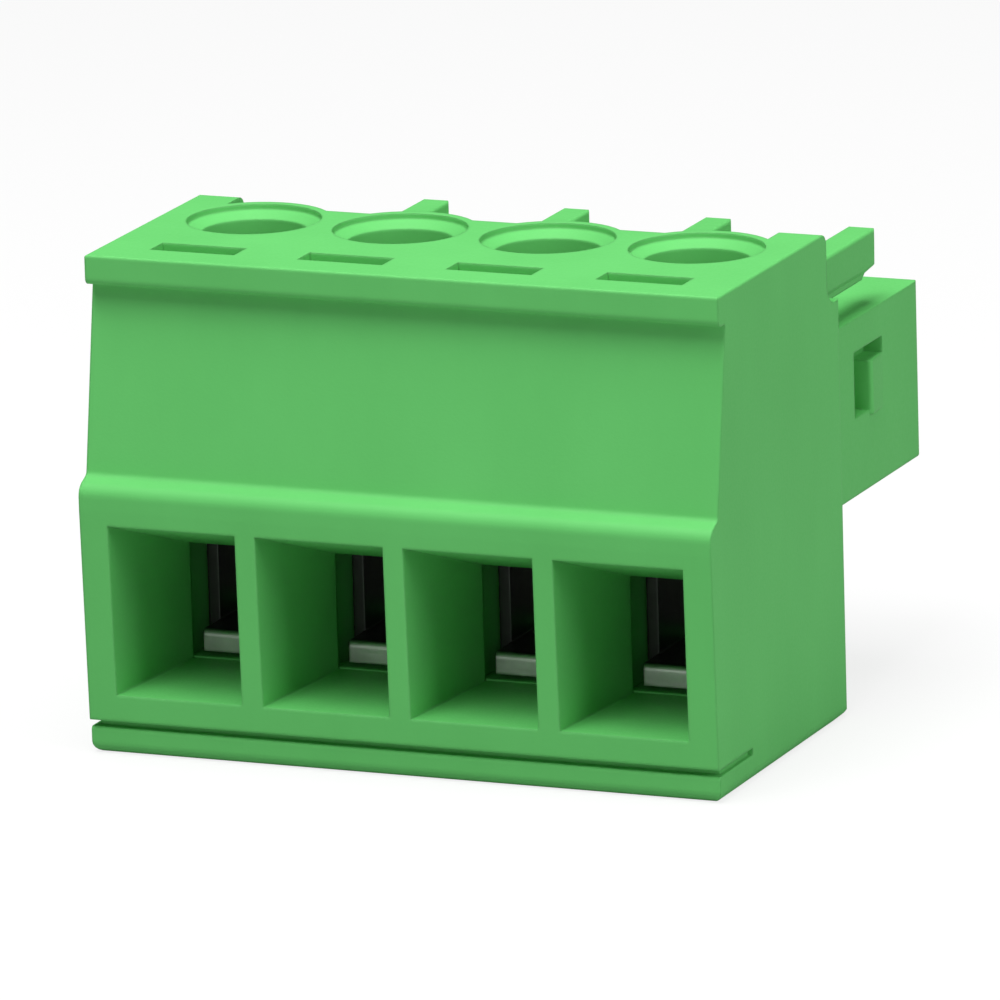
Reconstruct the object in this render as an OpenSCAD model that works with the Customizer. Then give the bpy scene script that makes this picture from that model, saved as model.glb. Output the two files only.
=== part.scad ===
// Pluggable terminal block: a moulded housing with wire funnels along the front, screw wells
// in the top and a plug nose at the back, and inside it one clamping unit for each pole.
// Millimetres, +Z up, +Y towards the plug nose, poles counted along +X.
// Depths are measured from the front of the lip, and place() then moves the whole model so that
// the origin is the middle of the underside.

/* [Poles] */
// Number of wire positions
poles = 4; // [2:1:12]
// Distance from one pole to the next
pitch = 3.5; // [3.4:0.05:4.5]
// Housing beyond the half pitch of each outer pole
end_margin = 0.425; // [0.3:0.025:1]

/* [Main body] */
// Height of the housing
body_h = 11.1; // [10.8:0.1:13]
// Lip front to the rear face that meets the header
body_d = 7.33; // [7.1:0.05:9]
// Height of the lip along the top front edge
lip_h = 0.67; // [0.4:0.01:1]
// Set-back of the label face just under the lip
lip_overhang = 0.4; // [0.1:0.05:0.6]
// How far the foot of the label face comes forward of the lip
label_foot = 0.3; // [0:0.05:0.5]
// Height of the ledge above the wire entries
ledge_z = 6.2; // [6:0.05:7]
// How far the entry block stands forward of the lip
block_out = 0.75; // [0.6:0.05:1.2]
// How far the entry block falls back towards its foot
block_lean = 0.17; // [0:0.01:0.4]
// Radius of the entry block's top front edge
ledge_r = 0.32; // [0.1:0.02:0.5]
// Radius of the rear foot and of the shoulder's hollow
foot_r = 0.45; // [0.1:0.05:0.5]
// Rise of the underside towards the rear foot
foot_rise = 0.13; // [0.05:0.01:0.2]
// Radius of the long lower edges
sole_r = 0.26; // [0.1:0.02:0.3]
// Radius of the small moulded edges
edge_r = 0.15; // [0.05:0.01:0.25]
// Radius of the upright rear edges of the body and of the nose
side_r = 0.32; // [0.1:0.02:0.4]

/* [Upper rear] */
// Height of the shoulder behind the screw wells
shoulder_z = 9.45; // [9.3:0.05:9.5]
// Lip front to the rear of the two end lands
land_d = 6.42; // [6.2:0.02:6.8]
// Radius of the top rear edge of the lands
land_r = 0.28; // [0.1:0.02:0.3]
// Width of each end land
land_w = 1; // [0.6:0.05:1.4]
// Lip front to the face between the wells
valley_d = 5.46; // [5.2:0.02:5.8]
// Wall around the rim of each screw well
well_wall = 0.2; // [0.1:0.02:0.24]

/* [Wire entries] */
// Width of a wire entry at the front
entry_w = 3.03; // [2.6:0.01:3.1]
// Height of the funnel floor
entry_floor = 1.37; // [1.3:0.01:1.6]
// Height of a wire entry at the front
entry_h = 3.86; // [3.2:0.02:4]
// Lip front to the rear window of a funnel
window_y = 2.9; // [2.4:0.05:3]
// Width of the rear window
window_w = 2.38; // [1.8:0.02:2.5]
// Height of the rear window
window_h = 2.63; // [2:0.01:2.7]

/* [Screw wells and slots] */
// Lip front to the screw axis
screw_y = 4.28; // [4.15:0.01:4.5]
// Radius of the rim at the mouth of a screw well
rim_r = 1.5; // [1.45:0.01:1.5]
// Depth of that rim
rim_h = 0.12; // [0.05:0.01:0.3]
// Depth of the cone under the rim that leads the driver in
cone_h = 0.16; // [0.1:0.01:0.4]
// Radius of a screw well
well_r = 1.18; // [1.17:0.01:1.3]
// Inward reach of the collar that keeps the screw in
collar_in = 0.08; // [0.06:0.01:0.1]
// Length of the slot in front of each well
slot_l = 2; // [1:0.05:2.4]
// Width of that slot
slot_w = 0.7; // [0.4:0.05:0.9]
// Depth of that slot
slot_depth = 0.5; // [0.3:0.1:2]
// Lip front to the middle of that slot
slot_y = 1.24; // [1.1:0.02:1.6]

/* [Plug nose] */
// Length of the nose behind the rear face
nose_l = 5.42; // [4.8:0.02:7]
// Height of the nose's underside
nose_z = 4.64; // [4.4:0.01:4.8]
// Height of the nose itself
nose_h = 3.99; // [3.8:0.01:4.2]
// Step from the body's side to the nose's side
nose_inset = 0.25; // [0.1:0.01:0.5]
// Wall around a contact chamber at the nose's face
face_wall = 0.5; // [0.3:0.05:0.8]
// Width of a pin opening
pin_open_w = 1.5; // [1:0.05:1.7]
// Height of a pin opening
pin_open_h = 1.9; // [1:0.05:2]
// Lead-in around a pin opening
pin_lead = 0.25; // [0.1:0.01:0.3]

/* [Coding fingers and snap nubs] */
// Distance from one coding finger to the next
finger_pitch = 3.4; // [3.3:0.01:3.5]
// Width of a coding finger
finger_w = 0.68; // [0.4:0.01:0.9]
// Height of a coding finger
finger_h = 0.81; // [0.5:0.01:0.85]
// Reach of a coding finger beyond the rear face
finger_l = 3.15; // [2:0.01:4]
// Step from the nose's side to the last finger
finger_inset = 0.11; // [0.05:0.01:0.4]
// Width of a coding finger at the shoulder's height, below its slightly leaning sides
finger_waist = 0.6; // [0.4:0.02:0.64]
// Width of the keel under a coding finger
keel_w = 0.26; // [0.2:0.02:0.36]
// Depth of that keel
keel_h = 0.3; // [0.1:0.01:0.4]
// Slope back from the finger's tip to the end of the keel
keel_back = 0.5; // [0.2:0.05:1]
// Rear face to the pocket around a snap nub
nub_y = 1.25; // [0.8:0.05:1.4]
// Length of that pocket
nub_pocket_l = 1.75; // [1.4:0.05:2]
// Height of that pocket
nub_pocket_h = 1.5; // [1:0.05:1.8]
// Depth of that pocket
nub_pocket_d = 0.45; // [0.3:0.05:0.5]
// Length of a snap nub
nub_l = 0.85; // [0.6:0.05:1]
// Height of a snap nub
nub_h = 1.12; // [0.8:0.02:1.3]
// How far a snap nub stands out of the nose's side
nub_out = 0.08; // [0.04:0.01:0.2]

/* [Base strip and cover] */
// Height of the strip below the shadow seam
strip_h = 0.6; // [0.4:0.01:0.65]
// How far that strip stands forward of the lip
strip_out = 0.5; // [0.3:0.05:0.55]
// Height of the shadow seam above the strip
seam_h = 0.16; // [0.1:0.01:0.2]
// Depth of the shadow seam across the front
seam_depth = 0.25; // [0.1:0.01:0.35]
// Depth of the shadow seam along the sides
seam_side = 0.12; // [0.05:0.01:0.2]
// Lip front to the end of the seam on each side
seam_back = 1.42; // [0.8:0.02:2.2]
// Lip front to the front end of the cover's plate
plate_front = 1.6; // [1:0.05:2.2]
// Thickness of the cover's plate
plate_t = 0.8; // [0.6:0.02:0.9]
// Width of the housing walls beside the plate
plate_side = 0.9; // [0.7:0.05:1.1]
// Lip front to the rear end of the plate
plate_back = 5.95; // [5.9:0.01:6]
// Gap around the cover, the contacts and other seated pieces
seat_gap = 0.03; // [0.02:0.01:0.05]

/* [Clamping unit] */
// Width of the chamber for a clamping cage
chamber_w = 2.64; // [2.6:0.01:2.7]
// Chamber from the screw axis to its rear wall
chamber_back = 1.34; // [1.3:0.01:1.5]
// Gap between the cage and its chamber
cage_gap = 0.07; // [0.04:0.01:0.1]
// Height of the cage's underside when open
cage_z = 1.5; // [1.48:0.01:1.6]
// Height of the cage
cage_h = 4.5; // [4.4:0.02:4.6]
// Thickness of the cage's floor
cage_floor = 0.5; // [0.3:0.02:0.6]
// Thickness of the cage's sides
cage_side = 0.27; // [0.22:0.01:0.3]
// Thickness of the threaded top plate
cage_top = 1; // [0.8:0.05:1.05]
// Width of the tongue that guides the wire
tongue_w = 2; // [1.4:0.05:2.2]
// Reach of the tongue in front of the cage's sides
tongue_l = 0.9; // [0.1:0.05:1]
// Lift of the cage from open to closed
cage_lift = 1.8; // [1:0.05:1.85]
// Free height left above the lifted cage
lift_spare = 0.15; // [0.1:0.01:0.2]

/* [Screw] */
// Radius of the screw's thread
screw_r = 1; // [0.9:0.01:1]
// Depth of the screw's thread
thread_depth = 0.09; // [0.04:0.01:0.12]
// Height of the screw's head
head_h = 1.05; // [0.8:0.05:1.1]
// Radial play of the screw in its bores
screw_play = 0.04; // [0.02:0.01:0.06]
// Width of the driver slot
driver_w = 0.45; // [0.3:0.05:0.6]
// Depth of the driver slot
driver_depth = 0.55; // [0.3:0.05:0.7]
// Thickness of the plastic web under the head
web_t = 0.25; // [0.2:0.01:0.3]

/* [Contact] */
// Thickness of the contact's metal at the current bar
bar_metal = 0.6; // [0.4:0.02:0.65]
// Height of the current bar's underside
bar_z = 4.1; // [4.05:0.01:4.15]
// Height of the foot of the wire stop behind the cage
stop_z = 2.2; // [2:0.05:3.5]
// Thickness of the spring beams
beam_t = 0.28; // [0.2:0.01:0.3]
// Height of the spring beams
beam_h = 1.8; // [1.2:0.05:2]
// Gap between the beams at their pinch point
pinch_gap = 0.6; // [0.4:0.02:0.8]

/* [Hidden] */
$fn = 48;
eps = 0.5;                                  // reach of a cutter past an open face

body_w = poles * pitch + 2 * end_margin;
nose_back = body_d + nose_l;
y_mid = (nose_back - block_out) / 2;        // middle of the whole depth
block_foot = strip_h + seam_h;              // top of the shadow seam
well_top = body_h - rim_h - cone_h;         // the well runs straight from here down
label_top = body_h - lip_h;

nose_w = body_w - 2 * nose_inset;
nose_mid_z = nose_z + nose_h / 2;

nub_low = nose_mid_z + 0.5 - nub_pocket_h / 2;
nub_front = body_d + nub_y;
nub_back = nub_front + nub_pocket_l;

chamber_front = window_y;
chamber_rear = screw_y + chamber_back;
chamber_top = cage_z + cage_h + cage_lift + lift_spare;
web_top = chamber_top + web_t;
pad_top = cage_z - 0.1;                     // the cover's pads end just under the open cage

cage_w = chamber_w - 2 * cage_gap;
cage_front = chamber_front + 2 * cage_gap;
cage_back = chamber_rear - cage_gap;

head_r = well_r - screw_play;
collar_r = well_r - collar_in;
collar_z = web_top + head_h + 0.15;
collar_h = 0.15;
tip_z = bar_z + bar_metal + seat_gap;       // the screw's tip bears on the current bar

bar_w = cage_w - 2 * cage_side - 2 * cage_gap;
bar_front = cage_front + 0.1;
riser_front = chamber_rear + 0.15;          // the contact turns up behind the chamber
riser_back = riser_front + bar_metal;
socket_w = bar_w;
socket_back = nose_back - face_wall - seat_gap;
socket_low = nose_mid_z - beam_h / 2;
socket_high = nose_mid_z + beam_h / 2;

// Distance of a pole's middle from the middle of the housing
function pole_x(i) = (i - (poles + 1) / 2) * pitch;

// Points that round the corner b between a and c with radius r
function corner(a, b, c, r, steps = 5) =
    let (
        u = (a - b) / norm(a - b),
        v = (c - b) / norm(c - b),
        half = acos(u * v) / 2,
        mid = (u + v) / norm(u + v),
        o = b + mid * r / sin(half),
        turn = 180 - 2 * half,
        side = sign(u[0] * v[1] - u[1] * v[0]),
        s = b + u * r / tan(half) - o
    )
    [for (k = [0:steps])
        let (t = -side * turn * k / steps)
        o + [s[0] * cos(t) - s[1] * sin(t), s[0] * sin(t) + s[1] * cos(t)]];

// An outline given as [x, y, corner radius] with its corners rounded
function rounded(p) = [
    for (k = [0:len(p) - 1])
        let (
            n = len(p),
            a = p[(k + n - 1) % n],
            b = p[k],
            c = p[(k + 1) % n]
        )
        each (b[2] > 0
            ? corner([a[0], a[1]], [b[0], b[1]], [c[0], c[1]], b[2])
            : [[b[0], b[1]]])
];

// Moves the model so that its origin is the middle of the underside
module place() {
    translate([0, -y_mid, 0]) children();
}

// Extrudes a [y, z] outline along X, centred on x
module along_x(outline, width, x = 0) {
    translate([x - width / 2, 0, 0])
        rotate([90, 0, 90])
            linear_extrude(width)
                polygon(outline);
}

// Box from a [x, y, z] low corner to a high corner
module block(low, high) {
    translate(low) cube(high - low);
}

// Box centred on x, between two depths and two heights
module slab(x, width, y0, y1, z0, z1) {
    block([x - width / 2, y0, z0], [x + width / 2, y1, z1]);
}

// Upright cylinder on the screw axis
module on_screw(x, r, z0, z1) {
    translate([x, screw_y, z0]) cylinder(r = r, h = z1 - z0);
}

// Outline of the body seen from the front, with its long lower edges rounded
module front_outline() {
    translate([0, body_d + eps, 0])
        rotate([90, 0, 0])
            linear_extrude(body_d + block_out + 2 * eps)
                polygon(rounded([
                    [-body_w / 2, 0, sole_r],
                    [body_w / 2, 0, sole_r],
                    [body_w / 2, body_h, edge_r / 3],
                    [-body_w / 2, body_h, edge_r / 3]
                ]));
}

// Plan of a block that ends at a rear face, with its upright rear edges rounded
module rear_plan(width, rear) {
    linear_extrude(body_h)
        polygon(rounded([
            [-width / 2, -block_out - eps, 0],
            [width / 2, -block_out - eps, 0],
            [width / 2, rear, side_r],
            [-width / 2, rear, side_r]
        ]));
}

// Side profile of the main body, from the foot of the front round to the rear foot
module body_profile() {
    along_x(rounded([
        [-strip_out, 0, sole_r],
        [-strip_out, strip_h, edge_r / 2],
        [-strip_out + seam_depth, strip_h, 0],
        [-strip_out + seam_depth, block_foot, 0],
        [-block_out + block_lean, block_foot, edge_r / 3],
        [-block_out, ledge_z - 2 * ledge_r, 0],
        [-block_out, ledge_z - 0.15, ledge_r],
        [-label_foot, ledge_z + 0.05, edge_r],
        [lip_overhang, label_top, edge_r / 2],
        [0, label_top, edge_r],
        [0, body_h, edge_r / 3],
        [land_d, body_h, land_r],
        [land_d, shoulder_z, foot_r],
        [body_d, shoulder_z, edge_r],
        [body_d, foot_rise, foot_r],
        [plate_back + 0.1, 0, 0]
    ]), body_w);
}

module body_blank() {
    intersection() {
        body_profile();
        front_outline();
        rear_plan(body_w, body_d);
    }
}

// Clears the upper rear between the end lands, leaving a round wall behind each screw well
module upper_rear_cut() {
    difference() {
        slab(0, body_w - 2 * land_w, valley_d, land_d + eps, shoulder_z, body_h + eps);
        for (i = [1:poles])
            on_screw(pole_x(i), rim_r + well_wall, shoulder_z - eps, body_h + 2 * eps);
    }
}

// Four-sided funnel: the side outline crossed with the plan outline
module funnel(x) {
    run = window_y + block_out;
    grow = (entry_h - window_h) / run;
    spread = (entry_w - window_w) / 2 / run;
    front = -block_out - eps;
    intersection() {
        along_x([
            [front, entry_floor],
            [window_y + eps, entry_floor],
            [window_y + eps, entry_floor + window_h - grow * eps],
            [front, entry_floor + entry_h + grow * eps]
        ], entry_w + eps, x);
        translate([x, 0, 0])
            linear_extrude(body_h)
                polygon([
                    [-entry_w / 2 - spread * eps, front],
                    [entry_w / 2 + spread * eps, front],
                    [window_w / 2 - spread * eps, window_y + eps],
                    [-window_w / 2 + spread * eps, window_y + eps]
                ]);
    }
}

// Everything that is open above and around one screw
module screw_well(x) {
    on_screw(x, rim_r, body_h - rim_h, body_h + eps);
    translate([x, screw_y, well_top])
        cylinder(r1 = well_r, r2 = rim_r, h = cone_h + 0.001);
    on_screw(x, well_r, collar_z + collar_h, well_top + 0.001);
    on_screw(x, collar_r, collar_z - eps, collar_z + collar_h + eps);
    on_screw(x, well_r, web_top, collar_z);
    on_screw(x, screw_r + screw_play, chamber_top - eps, web_top + eps);
}

// Slot in front of one screw well
module top_slot(x) {
    slab(x, slot_l, slot_y - slot_w / 2, slot_y + slot_w / 2, body_h - slot_depth, body_h + eps);
}

// Chamber for one clamping unit, with the way back into the nose
module contact_space(x) {
    slab(x, chamber_w, chamber_front, chamber_rear, -eps, chamber_top);
    slab(x, socket_w + 2 * seat_gap, chamber_rear - eps, riser_back + seat_gap,
        stop_z - seat_gap, socket_high + seat_gap);
    slab(x, socket_w + 2 * seat_gap, riser_back - eps, nose_back - face_wall,
        socket_low - seat_gap, socket_high + seat_gap);
}

// Opening in the nose's face for one header pin, with a lead-in on all sides
module pin_opening(x) {
    slab(x, pin_open_w, nose_back - face_wall - eps, nose_back + eps,
        nose_mid_z - pin_open_h / 2, nose_mid_z + pin_open_h / 2);
    reach = pin_lead + eps;
    intersection() {
        along_x([
            [nose_back - pin_lead, nose_mid_z - pin_open_h / 2],
            [nose_back + eps, nose_mid_z - pin_open_h / 2 - reach],
            [nose_back + eps, nose_mid_z + pin_open_h / 2 + reach],
            [nose_back - pin_lead, nose_mid_z + pin_open_h / 2]
        ], pin_open_w + 2 * reach, x);
        translate([x, 0, 0])
            linear_extrude(body_h)
                polygon([
                    [-pin_open_w / 2, nose_back - pin_lead],
                    [pin_open_w / 2, nose_back - pin_lead],
                    [pin_open_w / 2 + reach, nose_back + eps],
                    [-pin_open_w / 2 - reach, nose_back + eps]
                ]);
    }
}

// The nose, rounded at the edges of its face
module nose_blank() {
    intersection() {
        along_x(rounded([
            [body_d - side_r - eps, nose_z, 0],
            [body_d - side_r - eps, nose_z + nose_h, 0],
            [nose_back, nose_z + nose_h, edge_r],
            [nose_back, nose_z, side_r]
        ]), nose_w);
        rear_plan(nose_w, nose_back);
    }
}

// Middle of a coding finger, counted back from the last one, which is kept over the nose
function finger_x(i) =
    nose_w / 2 - finger_inset - finger_w / 2 - (poles - i) * finger_pitch;

// Finger over the nose with a rounded tip, on a keel narrower than itself
module coding_finger(i) {
    low = shoulder_z + 0.05;
    top = low + finger_h;
    foot = low - keel_h;
    tip = body_d + finger_l;
    root = valley_d - eps;
    tip_r = finger_w * 0.38;
    translate([finger_x(i), 0, 0])
        intersection() {
            along_x(rounded([
                [root, foot, 0],
                [root, top, 0],
                [tip, top, edge_r],
                [tip, low, edge_r / 2],
                [tip - keel_back, foot, 0]
            ]), finger_w);
            translate([0, tip + eps, 0])
                rotate([90, 0, 0])
                    linear_extrude(tip + eps - root)
                        polygon(rounded([
                            [finger_w / 2, top, edge_r / 2],
                            [finger_waist / 2, low, edge_r / 2],
                            [keel_w / 2, low - keel_h * 0.6, 0],
                            [keel_w / 2, foot, 0],
                            [-keel_w / 2, foot, 0],
                            [-keel_w / 2, low - keel_h * 0.6, 0],
                            [-finger_waist / 2, low, edge_r / 2],
                            [-finger_w / 2, top, edge_r / 2]
                        ]));
            linear_extrude(body_h)
                polygon(rounded([
                    [-finger_w / 2, root, 0],
                    [finger_w / 2, root, 0],
                    [finger_w / 2, tip, tip_r],
                    [-finger_w / 2, tip, tip_r]
                ]));
        }
}

// Pocket in the nose's side around a snap nub; side is 1 or -1
module nub_pocket(side) {
    mirror([side < 0 ? 1 : 0, 0, 0])
        block([nose_w / 2 - nub_pocket_d, nub_front, nub_low],
            [nose_w / 2 + eps, nub_back, nub_low + nub_pocket_h]);
}

// Snap nub at the rear of its pocket, standing out towards the body and sloping flush to the face
module snap_nub(side) {
    root = -nub_pocket_d - 0.1;
    mirror([side < 0 ? 1 : 0, 0, 0])
        translate([nose_w / 2, 0, nub_low - 0.1])
            linear_extrude(nub_h + 0.1)
                polygon(rounded([
                    [root, nub_back - nub_l, 0],
                    [nub_out, nub_back - nub_l, nub_out],
                    [0, nub_back, 0],
                    [root, nub_back + 0.1, 0]
                ]));
}

// Room for the base cover's plate, and the shadow seam along both sides
module cover_space() {
    slab(0, body_w - 2 * plate_side + 2 * seat_gap, plate_front - seat_gap, plate_back + seat_gap,
        -eps, plate_t + seat_gap);
    difference() {
        slab(0, body_w + 2 * eps, -block_out - eps, seam_back, strip_h, block_foot);
        slab(0, body_w - 2 * seam_side, -block_out - 2 * eps, seam_back + eps, 0, body_h);
    }
}

module housing() {
    color("mediumseagreen") place() {
        difference() {
            union() {
                difference() {
                    body_blank();
                    upper_rear_cut();
                }
                nose_blank();
                for (i = [1:poles]) coding_finger(i);
            }
            for (i = [1:poles]) {
                funnel(pole_x(i));
                screw_well(pole_x(i));
                top_slot(pole_x(i));
                contact_space(pole_x(i));
                pin_opening(pole_x(i));
            }
            for (side = [-1, 1]) nub_pocket(side);
            cover_space();
        }
        for (side = [-1, 1]) snap_nub(side);
    }
}

// One plate that closes the chambers from below, with a pad under each cage
module base_cover() {
    color("seagreen") place() {
        slab(0, body_w - 2 * plate_side, plate_front, plate_back, 0, plate_t);
        for (i = [1:poles])
            slab(pole_x(i), chamber_w - 2 * seat_gap,
                chamber_front + seat_gap, chamber_rear - seat_gap, 0, pad_top);
    }
}

// Rising cage: a sleeve round the current bar, threaded at the top
module cage(i) {
    x = pole_x(i);
    top = cage_z + cage_h;
    side_front = cage_front + tongue_l;
    color("lightsteelblue") place() {
        difference() {
            union() {
                along_x(rounded([
                    [side_front, cage_z, edge_r],
                    [side_front, top - cage_top - tongue_l, 0],
                    [cage_front, top - cage_top, 0],
                    [cage_front, top, edge_r],
                    [cage_back, top, edge_r],
                    [cage_back, cage_z, edge_r]
                ]), cage_w, x);
                along_x(rounded([
                    [cage_front, cage_z, 0],
                    [side_front + eps, cage_z, 0],
                    [side_front + eps, cage_z + cage_floor, 0],
                    [cage_front, cage_z + cage_floor, edge_r]
                ]), tongue_w, x);
            }
            slab(x, cage_w - 2 * cage_side, cage_front - eps, cage_back + eps,
                cage_z + cage_floor, top - cage_top);
            on_screw(x, screw_r + seat_gap, top - cage_top - eps, top + eps);
        }
    }
}

// Slotted clamping screw, its tip on the current bar
module screw(i) {
    x = pole_x(i);
    head_top = web_top + seat_gap + head_h;
    color("silver") place() {
        difference() {
            union() {
                on_screw(x, screw_r - thread_depth / 2, tip_z, web_top + 2 * seat_gap);
                on_screw(x, head_r, web_top + seat_gap, head_top);
            }
            slab(x, 2 * well_r, screw_y - driver_w / 2, screw_y + driver_w / 2,
                head_top - driver_depth, head_top + eps);
        }
    }
}

// Plan outline of the right-hand spring beam: straight, pinched, then flared
module beam_outline() {
    outer = socket_w / 2;
    pinch = pinch_gap / 2;
    bend = riser_back + (socket_back - riser_back) * 0.45;
    tip = socket_back - 0.9;
    polygon([
        [outer - beam_t, riser_back - beam_t],
        [outer, riser_back - beam_t],
        [outer, bend],
        [pinch + beam_t, tip],
        [outer - 0.12, socket_back],
        [outer - 0.12 - beam_t, socket_back],
        [pinch, tip],
        [outer - beam_t, bend]
    ]);
}

// Current bar, riser with its wire stop, and twin-beam socket, stamped in one piece
module contact(i) {
    x = pole_x(i);
    color("gold") place() {
        along_x([
            [bar_front, bar_z],
            [riser_front, bar_z],
            [riser_front, stop_z],
            [riser_back, stop_z],
            [riser_back, socket_high],
            [riser_front, socket_high],
            [riser_front, bar_z + bar_metal],
            [bar_front, bar_z + bar_metal]
        ], bar_w, x);
        for (side = [0, 1])
            translate([x, 0, socket_low])
                mirror([side, 0, 0])
                    linear_extrude(beam_h)
                        beam_outline();
    }
}

housing();
base_cover();
for (i = [1:poles]) contact(i);
for (i = [1:poles]) cage(i);
for (i = [1:poles]) screw(i);
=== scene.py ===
import math

import bpy
from mathutils import Matrix, Vector


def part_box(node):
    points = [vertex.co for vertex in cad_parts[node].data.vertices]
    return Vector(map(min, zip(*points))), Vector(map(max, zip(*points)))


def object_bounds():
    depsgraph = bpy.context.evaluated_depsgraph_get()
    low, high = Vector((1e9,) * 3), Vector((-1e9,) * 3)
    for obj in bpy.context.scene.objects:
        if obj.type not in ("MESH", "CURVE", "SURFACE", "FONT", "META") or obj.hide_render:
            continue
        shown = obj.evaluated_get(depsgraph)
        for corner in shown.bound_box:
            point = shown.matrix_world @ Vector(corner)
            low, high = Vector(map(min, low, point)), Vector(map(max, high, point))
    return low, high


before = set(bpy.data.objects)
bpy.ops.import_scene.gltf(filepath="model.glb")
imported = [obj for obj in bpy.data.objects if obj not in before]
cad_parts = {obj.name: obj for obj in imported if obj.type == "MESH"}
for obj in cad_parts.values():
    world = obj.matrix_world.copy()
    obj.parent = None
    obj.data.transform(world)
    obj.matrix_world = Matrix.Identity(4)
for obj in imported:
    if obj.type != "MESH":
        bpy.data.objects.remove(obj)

SCENE = bpy.context.scene
CAD_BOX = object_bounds()
LOW, HIGH = CAD_BOX
MM = 0.001
CAGE_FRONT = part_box("cage_1")[0][1] / MM     # depth of the cages' front face, in millimetres


# ---------------------------------------------------------------- node helpers

def new_material(name):
    mat = bpy.data.materials.new(name)
    mat.use_nodes = True
    tree = mat.node_tree
    tree.nodes.clear()
    return mat, tree


def add(tree, kind, **inputs):
    """A node of that kind; values for its sockets are given by name."""
    node = tree.nodes.new(kind)
    for key, value in inputs.items():
        node.inputs[key.replace("_", " ")].default_value = value
    return node


def join(tree, a, b):
    tree.links.new(a, b)


def object_position(tree, scale=(1, 1, 1)):
    """Position in millimetres in the object's own frame, so that a pattern moves with its body."""
    coord = tree.nodes.new("ShaderNodeTexCoord")
    mapping = tree.nodes.new("ShaderNodeMapping")
    mapping.inputs["Scale"].default_value = [1000 * s for s in scale]
    join(tree, coord.outputs["Object"], mapping.inputs["Vector"])
    return mapping.outputs["Vector"]


def noise(tree, where, scale, detail=3.0, rough=0.5):
    node = tree.nodes.new("ShaderNodeTexNoise")
    node.inputs["Scale"].default_value = scale
    node.inputs["Detail"].default_value = detail
    node.inputs["Roughness"].default_value = rough
    join(tree, where, node.inputs["Vector"])
    return node.outputs["Fac"]


def spread(tree, value, low_in, high_in, low_out, high_out):
    node = tree.nodes.new("ShaderNodeMapRange")
    for key, v in (("From Min", low_in), ("From Max", high_in), ("To Min", low_out), ("To Max", high_out)):
        node.inputs[key].default_value = v
    join(tree, value, node.inputs["Value"])
    return node.outputs["Result"]


def blend_colours(tree, fac, a, b, mode="MIX"):
    node = tree.nodes.new("ShaderNodeMix")
    node.data_type = "RGBA"
    node.blend_type = mode
    join(tree, fac, node.inputs["Factor"])
    colour_in = [s for s in node.inputs if s.type == "RGBA"]
    for socket, v in zip(colour_in, (a, b)):
        if hasattr(v, "is_output"):
            join(tree, v, socket)
        else:
            socket.default_value = (*v, 1)
    return [s for s in node.outputs if s.type == "RGBA"][0]


def calc(tree, op, a, b=None):
    node = tree.nodes.new("ShaderNodeMath")
    node.operation = op
    for socket, v in zip(node.inputs, (a, b)):
        if hasattr(v, "is_output"):
            join(tree, v, socket)
        elif v is not None:
            socket.default_value = v
    return node.outputs["Value"]


def edge_mask(tree, radius):
    """0 on flat faces, rising to 1 along edges and corners, from the bevelled normal."""
    bevel = tree.nodes.new("ShaderNodeBevel")
    bevel.samples = 6
    bevel.inputs["Radius"].default_value = radius
    geometry = tree.nodes.new("ShaderNodeNewGeometry")
    dot = tree.nodes.new("ShaderNodeVectorMath")
    dot.operation = "DOT_PRODUCT"
    join(tree, bevel.outputs["Normal"], dot.inputs[0])
    join(tree, geometry.outputs["Normal"], dot.inputs[1])
    mask = spread(tree, dot.outputs["Value"], 0.999, 0.86, 0.0, 1.0)
    return mask, bevel.outputs["Normal"]


def bump(tree, height, distance, strength, normal=None):
    node = tree.nodes.new("ShaderNodeBump")
    node.inputs["Strength"].default_value = strength
    node.inputs["Distance"].default_value = distance
    join(tree, height, node.inputs["Height"])
    if normal is not None:
        join(tree, normal, node.inputs["Normal"])
    return node.outputs["Normal"]


def finish_material(mat, tree, shader):
    out = tree.nodes.new("ShaderNodeOutputMaterial")
    join(tree, shader.outputs["BSDF"], out.inputs["Surface"])
    return mat


# ---------------------------------------------------------------- materials

def moulded_green(name, colour, shade, wear_and_painted_light):
    """Moulded engineering plastic: fine spark-eroded grain, faint flow marks, and edges made a
    little paler, partly as rubbed wear and partly as a painted highlight."""
    mat, tree = new_material(name)
    where = object_position(tree)
    flow = noise(tree, object_position(tree, (1, 1, 0.35)), 0.45, 4.0, 0.55)
    cloud = noise(tree, where, 1.7, 3.0, 0.5)
    grain = noise(tree, where, 14.0, 2.0, 0.6)
    mask, rounded = edge_mask(tree, 0.09 * MM)
    # edges made paler in patches: partly rubbed wear, partly a painted highlight along the edges
    rubbed_and_highlit = calc(tree, "MULTIPLY", mask, spread(tree, cloud, 0.35, 0.7, 0.25, 1.0))
    body = blend_colours(tree, spread(tree, flow, 0.3, 0.7, 0.0, 1.0), shade, colour)
    edged = blend_colours(tree, calc(tree, "MULTIPLY", rubbed_and_highlit, 0.4), body, wear_and_painted_light)
    shader = tree.nodes.new("ShaderNodeBsdfPrincipled")
    join(tree, edged, shader.inputs["Base Color"])
    rough = calc(tree, "ADD", spread(tree, grain, 0.3, 0.7, 0.5, 0.62),
                 calc(tree, "MULTIPLY", rubbed_and_highlit, -0.06))
    join(tree, rough, shader.inputs["Roughness"])
    shader.inputs["IOR"].default_value = 1.5
    shader.inputs["Specular IOR Level"].default_value = 0.2
    height = calc(tree, "ADD", grain, calc(tree, "MULTIPLY", cloud, 0.6))
    join(tree, bump(tree, height, 0.008 * MM, 0.35, rounded), shader.inputs["Normal"])
    return finish_material(mat, tree, shader)


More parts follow.
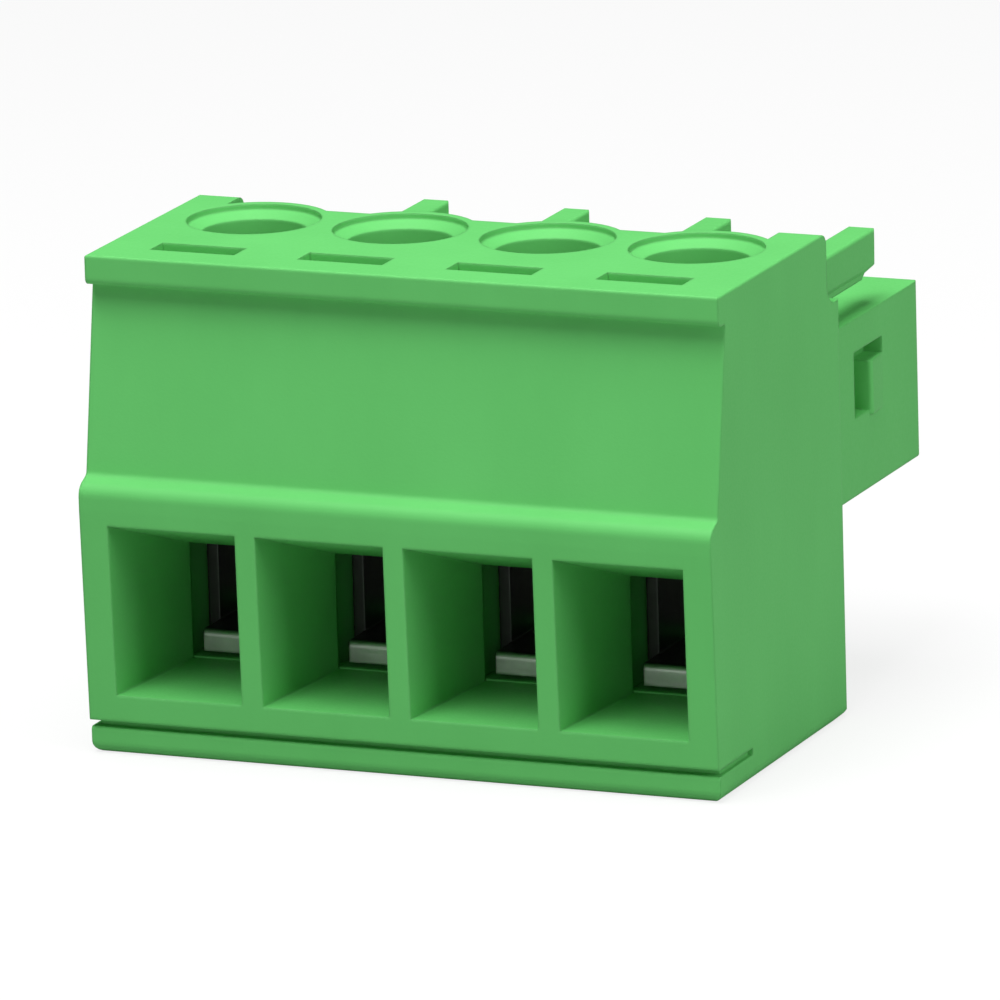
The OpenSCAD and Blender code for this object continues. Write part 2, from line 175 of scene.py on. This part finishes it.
def plated_metal(name, colour, shade, stretch, roughness, painted_shade=None):
    """Plated pressed metal: fine drawn lines along one way, dull patches, brighter rubbed edges.
    The optional last argument gives two depths along Y, in millimetres, and a share: between
    those depths the colour is darkened towards near black until only that share is left, as painted shade
    for the unlit inside of a chamber."""
    mat, tree = new_material(name)
    lines = noise(tree, object_position(tree, stretch), 9.0, 3.0, 0.6)
    patches = noise(tree, object_position(tree), 2.3, 4.0, 0.55)
    mask, rounded = edge_mask(tree, 0.05 * MM)
    body = blend_colours(tree, spread(tree, patches, 0.35, 0.65, 0.0, 1.0), shade, colour)
    wear_and_painted_light = blend_colours(tree, calc(tree, "MULTIPLY", mask, 0.5), body, [min(1.0, c * 1.15) for c in colour])
    if painted_shade is not None:
        # painted shade: behind the given depth along Y the colour is darkened towards near black, standing
        # in for the shade inside an unlit chamber
        unshaded_at, fully_shaded_at, share = painted_shade
        parts = tree.nodes.new("ShaderNodeSeparateXYZ")
        join(tree, object_position(tree), parts.inputs["Vector"])
        unshaded_share = spread(tree, parts.outputs["Y"], unshaded_at, fully_shaded_at, 1.0, share)
        wear_and_painted_light = blend_colours(tree, unshaded_share, PAINTED_SHADE_BLACK, wear_and_painted_light)
    shader = tree.nodes.new("ShaderNodeBsdfPrincipled")
    shader.inputs["Metallic"].default_value = 1.0
    join(tree, wear_and_painted_light, shader.inputs["Base Color"])
    join(tree, spread(tree, lines, 0.3, 0.7, *roughness), shader.inputs["Roughness"])
    height = calc(tree, "ADD", lines, calc(tree, "MULTIPLY", patches, 0.4))
    join(tree, bump(tree, height, 0.006 * MM, 0.3, rounded), shader.inputs["Normal"])
    return finish_material(mat, tree, shader)


# near black, painted into the cage and the contact behind their front faces as painted shade
PAINTED_SHADE_BLACK = (0.02, 0.022, 0.02)

# housing and cover: the colour, its darker variation, and the paler colour of the edges, which is partly
# rubbed wear and partly a painted highlight
GREEN = moulded_green("housing_green", (0.128, 0.545, 0.142), (0.118, 0.515, 0.131), (0.19, 0.63, 0.2))
COVER = moulded_green("cover_green", (0.124, 0.535, 0.138), (0.114, 0.505, 0.127), (0.19, 0.62, 0.2))

# metals: the colour, its darker variation, the way the drawn lines run, the roughness, and for the cage and
# the contact the depths along Y over which painted shade darkens them nearly black inside the chambers
CAGE = plated_metal("cage_zinc", (0.7, 0.72, 0.69), (0.6, 0.62, 0.59), (0.3, 4, 4), (0.32, 0.46),
                    painted_shade=(CAGE_FRONT + 0.04, CAGE_FRONT + 0.12, 0.1))
SCREW = plated_metal("screw_zinc", (0.68, 0.68, 0.66), (0.56, 0.56, 0.54), (4, 4, 0.4), (0.26, 0.4))
CONTACT = plated_metal("contact_tin", (0.66, 0.65, 0.61), (0.52, 0.51, 0.48), (4, 0.3, 4), (0.3, 0.44),
                       painted_shade=(0.2, -0.3, 0.12))

BY_KIND = {"housing": GREEN, "base": COVER, "cage": CAGE, "screw": SCREW, "contact": CONTACT}
for node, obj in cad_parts.items():
    obj.data.materials.clear()
    obj.data.materials.append(BY_KIND[node.split("_")[0]])


# ---------------------------------------------------------------- floor and light

def square_sheet(name, reach, z):
    """A level square sheet around the origin, set apart from the part as its stage."""
    mesh = bpy.data.meshes.new(name)
    corners = [(-reach, -reach, z), (reach, -reach, z), (reach, reach, z), (-reach, reach, z)]
    mesh.from_pydata(corners, [], [(0, 1, 2, 3)])
    obj = bpy.data.objects.new(name, mesh)
    SCENE.collection.objects.link(obj)
    return obj


def pale_floor():
    """A matt pale floor: grey for the light that bounces off it, and near white, with the
    object's soft shadow, for the camera."""
    mat, tree = new_material("floor_pale")
    bounce = add(tree, "ShaderNodeBsdfDiffuse", Color=(0.42, 0.42, 0.42, 1))
    paper = add(tree, "ShaderNodeBsdfDiffuse", Color=(0.85, 0.85, 0.85, 1))
    glow = add(tree, "ShaderNodeEmission", Color=(1, 1, 1, 1), Strength=1.0)
    seen = add(tree, "ShaderNodeMixShader", Fac=0.8)
    join(tree, paper.outputs["BSDF"], seen.inputs[1])
    join(tree, glow.outputs["Emission"], seen.inputs[2])
    path = tree.nodes.new("ShaderNodeLightPath")
    mix = tree.nodes.new("ShaderNodeMixShader")
    join(tree, path.outputs["Is Camera Ray"], mix.inputs["Fac"])
    join(tree, bounce.outputs["BSDF"], mix.inputs[1])
    join(tree, seen.outputs["Shader"], mix.inputs[2])
    out = tree.nodes.new("ShaderNodeOutputMaterial")
    join(tree, mix.outputs["Shader"], out.inputs["Surface"])
    return mat


def studio_world():
    """White for the camera, and a faint even light for everything else."""
    world = bpy.data.worlds.new("studio")
    world.use_nodes = True
    tree = world.node_tree
    tree.nodes.clear()
    ambient = add(tree, "ShaderNodeBackground", Color=(1, 1, 1, 1), Strength=0.05)
    white = add(tree, "ShaderNodeBackground", Color=(1, 1, 1, 1), Strength=1.0)
    path = tree.nodes.new("ShaderNodeLightPath")
    mix = tree.nodes.new("ShaderNodeMixShader")
    join(tree, path.outputs["Is Camera Ray"], mix.inputs["Fac"])
    join(tree, ambient.outputs["Background"], mix.inputs[1])
    join(tree, white.outputs["Background"], mix.inputs[2])
    out = tree.nodes.new("ShaderNodeOutputWorld")
    join(tree, mix.outputs["Shader"], out.inputs["Surface"])
    return world


def softbox(name, where, size, power, target=(0, 0, 0.005)):
    """A rectangular lamp, sized in metres and watts, that faces the target."""
    data = bpy.data.lights.new(name, "AREA")
    data.shape = "RECTANGLE"
    data.size, data.size_y = size
    data.energy = power
    obj = bpy.data.objects.new(name, data)
    SCENE.collection.objects.link(obj)
    obj.location = where
    obj.rotation_mode = "QUATERNION"
    obj.rotation_quaternion = (Vector(target) - Vector(where)).to_track_quat("-Z", "Y")
    return obj


FLOOR_REACH = 40 * (HIGH - LOW).length
square_sheet("floor", FLOOR_REACH, LOW.z).data.materials.append(pale_floor())
SCENE.world = studio_world()

softbox("overhead", (-0.01, -0.01, 0.16), (0.12, 0.12), 0.235)
softbox("key", (-0.01, -0.075, 0.15), (0.08, 0.08), 0.13)
softbox("right", (0.15, -0.02, 0.08), (0.12, 0.12), 0.125)
softbox("low_front", (0.02, -0.19, 0.03), (0.12, 0.05), 0.045)


# ---------------------------------------------------------------- camera

# The view: degrees round to the right, above the floor and of roll, the lens in frame widths,
# and millimetres to the right, up and back from the left end of the lip's front plane
AZIMUTH, ELEVATION, ROLL = 22.8824, 14.0493, -1.6188
LENS = 12.9158
ASIDE, RISE, BACK = 8.7608, 5.4258, 284.238
BLOCK_OUT = 0.75                             # how far the entry block stands forward of the lip
FRAME_WIDTH = 36


def camera():
    """A long-lens view of the right front, as in the photograph."""
    az, el, roll = (math.radians(a) for a in (AZIMUTH, ELEVATION, ROLL))
    back = Vector((math.sin(az) * math.cos(el), -math.cos(az) * math.cos(el), math.sin(el)))
    right = Vector((math.cos(az), math.sin(az), 0))
    up = back.cross(right)
    c, s = math.cos(roll), math.sin(roll)
    right, up = c * right + s * up, -s * right + c * up
    lip_front = Vector((LOW.x, LOW.y + BLOCK_OUT * MM, 0))
    data = bpy.data.cameras.new("camera")
    data.sensor_width = FRAME_WIDTH
    data.lens = LENS * FRAME_WIDTH
    data.clip_start, data.clip_end = 0.01, 10
    obj = bpy.data.objects.new("camera", data)
    SCENE.collection.objects.link(obj)
    where = lip_front + (ASIDE * right + RISE * up + BACK * back) * MM
    turn = Matrix((right, up, back)).transposed().to_4x4()
    obj.matrix_world = Matrix.Translation(where) @ turn
    SCENE.camera = obj


camera()

SCENE.view_settings.view_transform = "Standard"

bpy.context.view_layer.update()
